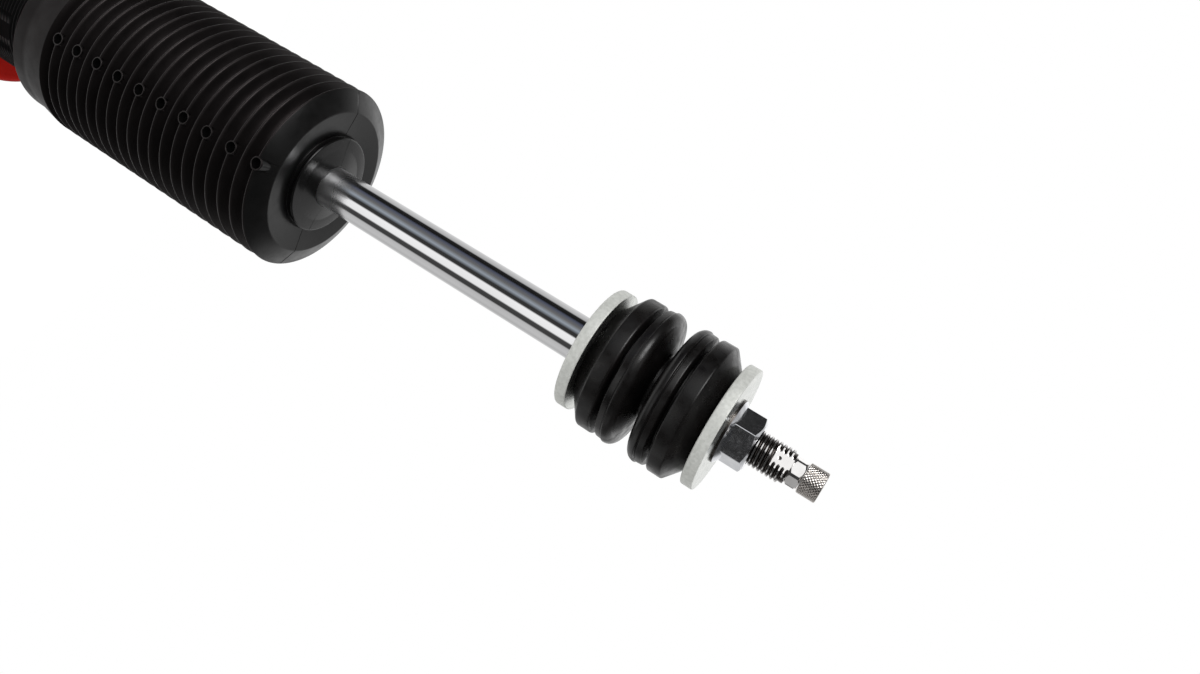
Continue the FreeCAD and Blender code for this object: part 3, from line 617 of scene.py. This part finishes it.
stop_foam = make_material(
    "stop_foam", (0.34, 0.27, 0.14), (0.46, 0.38, 0.22), (0.72, 0.86),
    patch=220, grain=700, relief=0.25)

# The red ring, the lower bracket and the inner pieces keep their CAD shapes.
finishes = {
    "lower_bracket": bracket_paint, "eye_bush": eye_rubber, "eye_sleeve": sleeve_steel,
    "lock_ring": ring_red, "base_plug": alloy, "base_o_ring": seal_rubber, "gas_valve": valve_brass,
    "rod_guide": alloy, "guide_bush": bush_bronze, "rod_seal": seal_rubber, "wiper_seal": seal_rubber,
    "guide_o_ring": seal_rubber, "retaining_ring": clip_steel, "bump_cap": cap_plastic,
    "bump_stop": stop_foam, "rebound_bumper": band_plastic, "stop_washer": inner_steel,
    "compression_shims": inner_steel, "piston": alloy, "piston_band": band_plastic,
    "rebound_shims": inner_steel, "piston_nut": nut_zinc, "spacer_sleeve": sleeve_steel,
    "floating_piston": alloy, "floating_o_ring": seal_rubber, "adjuster_needle": valve_brass,
    "dust_boot": boot_rubber, "damper_tube": tube_steel, "piston_rod": rod_chrome,
    "lower_washer": washer_zinc, "upper_washer": washer_zinc, "lower_bushing": bushing_rubber,
    "upper_bushing": bushing_rubber, "top_nut": nut_zinc, "adjuster_knob": knob_nickel,
}
for node, material in finishes.items():
    nodes[node].data.materials.clear()
    nodes[node].data.materials.append(material)


# Boot, split in the first valley: the collar stays on the tube.
first_valley = BOOT_SHOULDER + BOOT_PITCH / 2
last_crest = BOOT_SHOULDER + BOOT_PITCH * BOOT_LAST_CREST

collar_profile = rounded(
    [(BOOT_COLLAR_BORE, BOOT_RIM), (BOOT_COLLAR_RADIUS, BOOT_RIM, 0.7),
     (BOOT_COLLAR_RADIUS, BOOT_COLLAR_FLARE, 12.0), (BOOT_CREST_RADIUS, BOOT_SHOULDER, 0.4)]
    + [(BOOT_CREST_RADIUS - drop, BOOT_SHOULDER + away) for away, drop in RIDGE[5:]]
    + [(BOOT_VALLEY_RADIUS, first_valley), (BOOT_BORE, first_valley)])
collar = make_piece("boot_collar", [[turn_profile(collar_profile, even_angles(192))]], "damper", None,
                    sharp=50)
dress(collar, [collar_rubber])

bellows_profile = [Vector((BOOT_BORE, first_valley))]
for crest in range(1, BOOT_LAST_CREST + 1):
    height = BOOT_SHOULDER + BOOT_PITCH * crest
    bellows_profile.append(Vector((BOOT_VALLEY_RADIUS, height - BOOT_PITCH / 2)))
    bellows_profile += [Vector((BOOT_CREST_RADIUS - drop, height - away)) for away, drop in reversed(RIDGE)]
    if crest < BOOT_LAST_CREST:
        bellows_profile += [Vector((BOOT_CREST_RADIUS - drop, height + away)) for away, drop in RIDGE[1:]]
bellows_profile += rounded([
    (BOOT_CREST_RADIUS - 0.18, last_crest + 0.25), (*END_BEVEL, 0.9), (*END_DISH, 0.8), (*BOSS_GROOVE, 0.2),
    (*BOSS_UNDERCUT, 0.2), (*BOSS_LIP, 0.2), (*BOSS_EDGE, 0.6), (*BOSS_CONE, 4.0), (*NECK_LIP, 0.2),
    (BOOT_NECK_BORE, NECK_MOUTH), (BOOT_NECK_BORE, BOOT_CEILING), (BOOT_BORE, BOOT_CEILING)])

vent_heights = [BOOT_SHOULDER + BOOT_PITCH * crest for crest in range(1, BOOT_LAST_CREST + 1, 2)]
vent_outward = facing_vector(VENT_FACING)
vent_sideways = Vector((-vent_outward.y, vent_outward.x, 0))
cap_start = last_crest + 0.2
seams = [SEAM_FACING, SEAM_FACING + math.pi]


def lean(z, angle):
    """How far the soft ridges hang back along the axis, most in the middle and on the +X side."""
    share = min(1.0, max(0.0, (z - first_valley) / (last_crest - first_valley)))
    return BOOT_LEAN * (1 - abs(2 * share - 1) ** 3) * (LEAN_MEAN + LEAN_SWING * math.cos(angle))


def bellows_shape(r, z, angle):
    """Pits under the vents, the thin mould seam across the end, and the lean of the ridges."""
    if r > BOOT_BORE + 0.3:
        across = BOOT_CREST_RADIUS * arc_distance(angle, VENT_FACING)
        if any(math.hypot(across, z - height) < VENT_HOLE + 0.2 for height in vent_heights):
            r = min(r, VENT_CUT)
    if z > cap_start and BOOT_NECK_BORE + 1.5 < r < BOOT_CREST_RADIUS:
        if min(abs(arc_distance(angle, seam)) for seam in seams) < SEAM_HALF_WIDTH:
            z -= SEAM_DEPTH
    return r, z - lean(z, angle)


bellows_angles = finer_angles(180, VENT_FACING, [0, 0.7, 1.4, 2.1, 2.7, 3.2, 3.6, 4.0, 4.6])
bellows_angles = sorted(
    [angle for angle in bellows_angles
     if all(abs(arc_distance(angle, seam)) > math.radians(1.2) for seam in seams)]
    + [(seam + math.radians(offset)) % FULL_TURN
       for seam in seams for offset in (-0.7, -0.35, 0, 0.35, 0.7)])


def vent_ring(height):
    """Thin ring on a ridge, facing as the vents do; the last one stands on the bevel as a short tube."""
    top = BOOT_CREST_RADIUS - 0.02
    wall = VENT_RADIUS - 0.1
    if height < last_crest:
        root = VENT_ROOT
        outside = [(VENT_STEM, root), (VENT_STEM + 0.1, top - 3 * VENT_DEPTH), (wall, top - VENT_DEPTH)]
    else:
        root = LAST_VENT_ROOT
        outside = [(wall, root)]
    inside = [(VENT_HOLE - 0.1, top - VENT_DEPTH), (VENT_BORE + 0.1, top - 2.5 * VENT_DEPTH),
              (VENT_BORE, root)]
    profile = rounded(outside + [(VENT_RADIUS, top, 0.22), (VENT_HOLE, top, 0.15)] + inside, 4)
    height -= lean(height, VENT_FACING)
    rings = []
    for point in profile:
        rings.append([vent_outward * point.y + vent_sideways * (point.x * math.cos(angle))
                      + Vector((0, 0, height + point.x * math.sin(angle))) for angle in even_angles(28)])
    return loft(rings)


PLAIN, VENT_SHADE, END, BOSS = range(4)


def boot_slot(point):
    """Material of a face of the bellows: painted shade inside a vent, smooth boss, end of the boot, or
    plain.
    """
    across, out = point.dot(vent_sideways), point.dot(vent_outward)
    off = min(math.hypot(across, point.z + lean(height, VENT_FACING) - height) for height in vent_heights)
    in_ring = out > VENT_CUT + 0.03 and off < VENT_HOLE - 0.02
    in_bore = out > VENT_ROOT and off < VENT_BORE + 0.15
    r = math.hypot(point.x, point.y)
    if in_ring or in_bore:
        return VENT_SHADE
    if point.z > BOSS_FOOT and r < BOSS_RADIUS:
        return BOSS
    if point.z > END_FOOT and r < END_RADIUS:
        return END
    return PLAIN


bellows = make_piece(
    "boot_bellows",
    [[turn_profile(bellows_profile, bellows_angles, bellows_shape)]]
    + [[vent_ring(height)] for height in vent_heights],
    "damper", "dust_boot", sharp=55)
dress(bellows, [boot_rubber, vent_shade, end_rubber, boss_rubber], boot_slot)
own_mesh(bellows)
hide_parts("dust_boot")


# Damper tube: threaded skin with a lengthwise flat, plain below.

def tube_slot(point):
    """The flat's darker milled finish, or the thread's."""
    return abs(point.dot(facing_vector(TUBE_FLAT_FACING)) - TUBE_FLAT_LEVEL) < 0.01


tube_angles = finer_angles(120, TUBE_FLAT_FACING, [0, 4, 8, 11, 13, 14, 15, 16, 17, 18, 19, 20])
thread_verts, thread_faces = screw_thread(
    TUBE_THREAD_START, TUBE_THREAD_TOP, TUBE_PITCH, TUBE_ROOT, TUBE_CREST, tube_angles)
thread_verts = clip_to_flat(
    thread_verts, TUBE_FLAT_FACING, TUBE_FLAT_LEVEL, TUBE_THREAD_START, TUBE_FLAT_TOP)
tube_profile = rounded([
    (TUBE_ROOT, TUBE_THREAD_TOP), (TUBE_ROOT, TUBE_TOP, 0.6), (TUBE_BORE, TUBE_TOP, 0.4),
    (TUBE_BORE, TUBE_FOOT), (TUBE_ROOT, TUBE_FOOT, 0.6), (TUBE_ROOT, TUBE_THREAD_START)])
tube_rings = [ring_of(point.x, point.y, tube_angles) for point in tube_profile]
tube = make_piece("tube_threaded", [[(thread_verts, thread_faces), loft(tube_rings, closed=False)]],
                  "damper", "damper_tube", sharp=28)
dress(tube, [tube_steel, tube_milled], tube_slot)


# Rod: chromed shaft, and the threaded stud with its flat, punch mark and hexagon end.
shaft_profile = rounded([
    (ROD_BORE, ROD_FOOT), (SHANK_RADIUS, ROD_FOOT, 0.4), (SHANK_RADIUS, ROD_SHAFT_FOOT),
    (ROD_RADIUS, ROD_SHAFT_FOOT, 0.5), (ROD_RADIUS, ROD_SHAFT_FOOT + 0.7), (ROD_RADIUS, ROD_SHOULDER - 0.5),
    (ROD_RADIUS, ROD_SHOULDER, 0.3), (SHANK_RADIUS, ROD_SHOULDER),
    (SHANK_RADIUS, SHANK_TOP), (ROD_BORE, SHANK_TOP)])
shaft = make_piece("rod_shaft", [[turn_profile(shaft_profile, even_angles(128))]], "rod", "piston_rod",
                   sharp=40)
dress(shaft, [rod_chrome])


def flattened_stud(verts):
    """The stud's points with its flat cut."""
    return clip_to_flat(verts, STUD_FLAT_FACING, STUD_FLAT_LEVEL, STUD_FLAT_FOOT, STUD_TOP)


def stud_slot(point):
    """Painted shade in the thread's grooves, or the bright crests, flat and hexagon."""
    across = point.dot(facing_vector(STUD_FLAT_FACING))
    on_flat = point.z > STUD_FLAT_FOOT and across > STUD_FLAT_LEVEL - 0.05
    in_groove = point.z < STUD_GROOVE_TOP and math.hypot(point.x, point.y) < STUD_GROOVE_RADIUS
    return in_groove and not on_flat


stud_angles = finer_angles(90, STUD_FLAT_FACING, [0, 2, 4, 6, 8, 10, 12, *range(14, 41)])
stud_verts, stud_faces = screw_thread(
    STUD_FOOT, STUD_THREAD_TOP, STUD_PITCH, STUD_ROOT, STUD_CREST, stud_angles, STUD_LAND)
stud_verts = punched(flattened_stud(stud_verts), STUD_FLAT_FACING, PUNCH_HEIGHT, PUNCH_RADIUS, PUNCH_DEPTH)
stud_profile = rounded([
    (STUD_ROOT, STUD_THREAD_TOP), (STUD_END_RADIUS, STUD_TOP), (ROD_BORE, STUD_TOP),
    (ROD_BORE, STUD_FOOT), (STUD_ROOT, STUD_FOOT)])
stud_rings = [flattened_stud(ring_of(point.x, point.y, stud_angles)) for point in stud_profile]
hexagon_rings = chamfered_prism(
    rounded_hexagon(HEXAGON_ACROSS, HEXAGON_TURN, HEXAGON_CORNER), HEXAGON_FOOT, HEXAGON_TOP,
    HEXAGON_FLAT, ROD_BORE, HEXAGON_SLOPE, HEXAGON_SLOPE)
stud = make_piece(
    "rod_stud", [[(stud_verts, stud_faces), loft(stud_rings, closed=False)], [loft(hexagon_rings)]],
    "rod", None, sharp=28)
dress(stud, [stud_steel, painted_shade_steel], stud_slot)
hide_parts("piston_rod")


# Mount stack: washers, rubber bushings and the flange nut.

def washer_slot(point):
    """The brighter flat faces, or the plated rim."""
    return math.hypot(point.x, point.y) < WASHER_FACE_RADIUS


def washer(name, node, foot):
    """Thick stamped washer: rounded on one side, a sharper burr edge on the other."""
    top = foot + WASHER_THICKNESS
    profile = rounded([(WASHER_BORE, foot, 0.3), (WASHER_RADIUS, foot, 0.5), (WASHER_RADIUS, top, 0.35),
                       (WASHER_BORE, top, 0.3)])
    piece = make_piece(name, [[turn_profile(profile, even_angles(128))]], "rod", node,
                       sharp=50)
    dress(piece, [washer_zinc, washer_face], washer_slot)


def bushing(name, node, foot, side, crease_depth, inner):
    """Bevelled rubber disc, groove, creased shoulder and crowned ring, from the washer to the panel."""
    corners = [(SPACER_FIT, 0), (BUSHING_SEAT, 0, 0.5), (DISC_RADIUS, DISC_BEVEL, 0.7),
               (DISC_RADIUS, DISC_TOP, 0.7), (GROOVE_RADIUS, DISC_TOP + 0.2, 0.3),
               (GROOVE_RADIUS, SHOULDER_FOOT - 0.2, 0.3), (SHOULDER_RADIUS, SHOULDER_FOOT, 0.5),
               (CREASE_RADIUS, CREASE_HEIGHT - 0.25, 0.2),
               (CREASE_RADIUS - crease_depth, CREASE_HEIGHT, 0.1),
               (CROWN_RADIUS, CREASE_HEIGHT + 0.3, 0.3), (CROWN_RADIUS, CROWN_TOP, 2.6), *inner]
    profile = [Vector((point.x, foot + side * point.y)) for point in rounded(corners, 9)]
    piece = make_piece(name, [[turn_profile(profile, even_angles(144))]], "rod", node,
                       sharp=60)
    dress(piece, [bushing_rubber])


UPWARD, DOWNWARD = 1, -1
washer("washer_below", "lower_washer", ROD_SHOULDER)
washer("washer_above", "upper_washer", UPPER_BUSHING)
bushing("bushing_below", "lower_bushing", LOWER_BUSHING, UPWARD, 0.02,
        [(PILOT_RADIUS, BUSHING_LENGTH, 0.6), (PILOT_RADIUS, PILOT_TOP, 0.4), (SPACER_FIT, PILOT_TOP)])
bushing("bushing_above", "upper_bushing", UPPER_BUSHING, DOWNWARD, 0.3,
        [(RECESS_RADIUS, BUSHING_LENGTH, 0.4), (RECESS_RADIUS, RECESS_FLOOR), (SPACER_FIT, RECESS_FLOOR)])


def nut_slot(point):
    """Painted shade on the flange's rim, or plain zinc."""
    return math.hypot(point.x, point.y) > FLANGE_RADIUS - 0.04 and point.z < NUT_FOOT + FLANGE_RIM


nut_rings = chamfered_prism(
    rounded_hexagon(NUT_ACROSS, NUT_TURN, NUT_CORNER, flat_steps=24), NUT_FOOT + NUT_PRISM_FOOT,
    NUT_FOOT + NUT_LENGTH, NUT_FLAT, NUT_BORE, 0.0, NUT_SLOPE)
cone_radius, cone_top = FLANGE_CONE
flange_profile = rounded([
    (FLANGE_BORE, NUT_FOOT), (FLANGE_RADIUS, NUT_FOOT, 0.15), (FLANGE_RADIUS, NUT_FOOT + FLANGE_RIM, 0.25),
    (cone_radius, NUT_FOOT + cone_top), (FLANGE_BORE, NUT_FOOT + cone_top)])
nut = make_piece("flange_nut", [[loft(nut_rings)], [turn_profile(flange_profile, even_angles(96))]],
                 "rod", "top_nut", sharp=24)
dress(nut, [nut_zinc, painted_shade_steel], nut_slot)


# Adjuster knob with a crossed knurl.

def knurl_groove(turn):
    """Depth share of one family of V grooves, one groove to a turn."""
    return max(0.0, 1.0 - KNURL_NARROWNESS * abs((turn % 1.0) * 2.0 - 1.0))


def knurled_point(angle, height, ends):
    """Point of the knob's side; ends is 1 along it and falls to 0 at its two edges."""
    along = (height - HEXAGON_TOP) / (FULL_TURN * KNOB_RADIUS)
    around = angle / FULL_TURN
    groove = max(knurl_groove(KNURL_LINES * (around + along)),
                 KNURL_CROSS_SHARE * knurl_groove(KNURL_LINES * (around - along)))
    r = KNOB_RADIUS - KNURL_DEPTH * groove * ends - KNOB_EDGE * (1.0 - ends) ** 2
    return r * math.cos(angle), r * math.sin(angle), height


knob_angles = even_angles(KNOB_COLUMNS)
knob_rings = [ring_of(KNOB_BORE, KNOB_FOOT, knob_angles)]
for row in range(KNOB_ROWS + 1):
    height = KNOB_FOOT + (KNOB_TOP - KNOB_FOOT) * row / KNOB_ROWS
    ends = min(1.0, row / KNOB_EDGE_ROWS, (KNOB_ROWS - row) / KNOB_EDGE_ROWS)
    knob_rings.append([knurled_point(angle, height, ends) for angle in knob_angles])
knob_rings += [ring_of(r, KNOB_TOP - drop, knob_angles) for r, drop in KNOB_RECESS]
knob = make_piece("knob_knurled", [[loft(knob_rings)]], "adjuster_knob", "adjuster_knob",
                  sharp=40)
dress(knob, [knob_nickel])


# Stage, in metres: pale floor, light tent with dark cards for the bright metal, soft lamps, camera.
FLOOR_RADIUS = 0.42
FLOOR_GAP = 0.0005
FLOOR_GLOW = 1.04
FLOOR_GLOW_SHARE = 0.93
WHITE = (1, 1, 1)
TENT_GREY = (0.75, 0.75, 0.75)


def light_path_share(tree, paths, share):
    """The share on the named kinds of ray, and nothing on the rest."""
    light_path = tree.nodes.new("ShaderNodeLightPath")
    total = light_path.outputs[paths[0]]
    for path in paths[1:]:
        total = reckon(tree, "MAXIMUM", total, light_path.outputs[path])
    return reckon(tree, "MULTIPLY", total, share)


floor_mesh = bpy.data.meshes.new("floor")
floor_build = bmesh.new()
bmesh.ops.create_circle(floor_build, cap_ends=True, segments=96, radius=FLOOR_RADIUS)
floor_build.to_mesh(floor_mesh)
floor_build.free()
floor = bpy.data.objects.new("floor", floor_mesh)
floor.location = (0, 0, cad_low.z - FLOOR_GAP)
bpy.context.scene.collection.objects.link(floor)
floor_paint = bpy.data.materials.new("floor_paint")
floor_paint.use_nodes = True
floor_tree = floor_paint.node_tree
floor_shader = floor_tree.nodes["Principled BSDF"]
floor_shader.inputs["Base Color"].default_value = (0.9, 0.9, 0.9, 1)
floor_shader.inputs["Roughness"].default_value = 0.9
floor_glow = floor_tree.nodes.new("ShaderNodeEmission")
floor_glow.inputs["Strength"].default_value = FLOOR_GLOW
floor_mix = floor_tree.nodes.new("ShaderNodeMixShader")
floor_share = light_path_share(
    floor_tree, ["Is Camera Ray", "Is Glossy Ray", "Is Transmission Ray"], FLOOR_GLOW_SHARE)
floor_tree.links.new(floor_share, floor_mix.inputs["Fac"])
floor_tree.links.new(floor_shader.outputs["BSDF"], floor_mix.inputs[1])
floor_tree.links.new(floor_glow.outputs["Emission"], floor_mix.inputs[2])
floor_tree.links.new(floor_mix.outputs["Shader"], floor_tree.nodes["Material Output"].inputs["Surface"])
floor_mesh.materials.append(floor_paint)

world = bpy.data.worlds.new("studio")
bpy.context.scene.world = world
world.use_nodes = True
tree = world.node_tree
direction = tree.nodes.new("ShaderNodeTexCoord")
flip = tree.nodes.new("ShaderNodeMapping")
flip.inputs["Scale"].default_value = (-1, -1, 1)
tree.links.new(direction.outputs["Generated"], flip.inputs["Vector"])
split = tree.nodes.new("ShaderNodeSeparateXYZ")
tree.links.new(flip.outputs["Vector"], split.inputs["Vector"])
bearing = reckon(tree, "ARCTAN2", split.outputs["X"], split.outputs["Y"])


def card_ring(stops):
    """Colours round the tent by bearing in degrees, from -Y towards -X."""
    ramp = tree.nodes.new("ShaderNodeValToRGB")
    for place, colour in stops:
        stop = ramp.color_ramp.elements.new((place + 180) / 360)
        stop.color = (*colour, 1) if isinstance(colour, tuple) else (colour, colour, colour, 1)
    ramp.color_ramp.elements.remove(ramp.color_ramp.elements[0])
    ramp.color_ramp.elements.remove(ramp.color_ramp.elements[-1])
    tree.links.new(spread(tree, bearing, 0.0, 1.0, -math.pi, math.pi), ramp.inputs["Fac"])
    return ramp.outputs["Color"]


def stacked(below, above, low, high):
    """Blend of two card rings by the height of the look, between two heights."""
    return blend(tree, spread(tree, split.outputs["Z"], 0.0, 1.0, low, high), below, above)


# Low round the tent, where the shaft looks: white strip between two dark cards.
# Higher: dark round the camera.
floor_cards = card_ring([
    (-179, 0.06), (-60, 0.03), (60, 0.03), (140, 0.04), (154, 0.5), (166, 0.45), (179, 0.06)])
low_cards = card_ring([
    (-179, 0.85), (-130, 0.5), (-105, 0.6), (-78, 0.55), (-70, 0.05), (-48, 0.06), (-41, 0.95), (-10, 1.0),
    (-3, 0.04), (12, 0.035), (28, (0.33, 0.37, 0.42)), (45, 0.16), (66, (0.08, 0.09, 0.13)), (76, 0.01),
    (97, 0.02), (105, 0.5), (179, 0.85)])
high_cards = card_ring([
    (-179, 1.1), (-150, 0.8), (-134, 0.5), (-122, 0.04), (-108, 0.04), (-102, 0.38), (-84, 0.38),
    (-78, 0.04), (8, 0.03), (15, 1.0), (46, 1.0), (54, 0.03), (112, 0.03), (128, 0.6), (142, 1.1),
    (179, 1.1)])
top_cards = card_ring([
    (-179, 0.45), (-167, 0.75), (-156, 0.75), (-148, 0.06), (8, 0.04), (18, 0.6), (50, 0.5), (64, 0.04),
    (130, 0.05), (146, 0.75), (172, 0.5), (179, 0.45)])
cards = stacked(floor_cards, low_cards, -0.66, -0.58)
cards = stacked(cards, high_cards, -0.24, -0.17)
cards = stacked(cards, top_cards, 0.42, 0.52)

# Bright surfaces mirror the cards, the camera sees white, and the rest is lit by grey.
mirrored_tent = blend(tree, light_path_share(tree, ["Is Glossy Ray"], 1.0), TENT_GREY, cards)
seen_tent = blend(
    tree, light_path_share(tree, ["Is Camera Ray", "Is Transmission Ray"], 1.0), mirrored_tent, WHITE)
tree.links.new(seen_tent, tree.nodes["Background"].inputs["Color"])

LAMP_TARGET = Vector((0, 0, 0.3))


def soft_lamp(name, place, power, size, mirrored=False):
    """Square lamp that looks at the middle of the part; bright surfaces mirror it or not."""
    lamp = bpy.data.lights.new(name, "AREA")
    lamp.energy = power
    lamp.size = size
    lamp_object = bpy.data.objects.new(name, lamp)
    lamp_object.location = place
    lamp_object.rotation_euler = (Vector(place) - LAMP_TARGET).to_track_quat("Z", "Y").to_euler()
    lamp_object.visible_glossy = mirrored
    bpy.context.scene.collection.objects.link(lamp_object)


soft_lamp("key", (-0.7, -0.75, 0.95), 7.0, 0.6, mirrored=True)
soft_lamp("fill", (0.8, -0.8, 0.5), 2.0, 0.9)
soft_lamp("rim", (0.3, 1.0, 0.9), 3.0, 0.8)

# Camera where the photograph was taken, its picture axes in the part's frame.
CAMERA_PLACE = (0, -0.26003, 0.534)
CAMERA_RIGHT = Vector((-0.523887, 0.260458, 0.810990))
CAMERA_DOWN = Vector((0.850620, 0.209815, 0.482103))
camera_data = bpy.data.cameras.new("camera")
camera_data.sensor_width = 36.0
camera_data.lens = 29.266
camera_data.shift_x = 0.04016
camera_data.shift_y = -0.05494
camera_data.clip_start = 0.01
camera = bpy.data.objects.new("camera", camera_data)
turned = Matrix((CAMERA_RIGHT, -CAMERA_DOWN, -CAMERA_RIGHT.cross(CAMERA_DOWN))).transposed().to_4x4()
camera.matrix_world = Matrix.Translation(CAMERA_PLACE) @ turned
bpy.context.scene.collection.objects.link(camera)
bpy.context.scene.camera = camera
bpy.context.scene.view_settings.view_transform = "Standard"
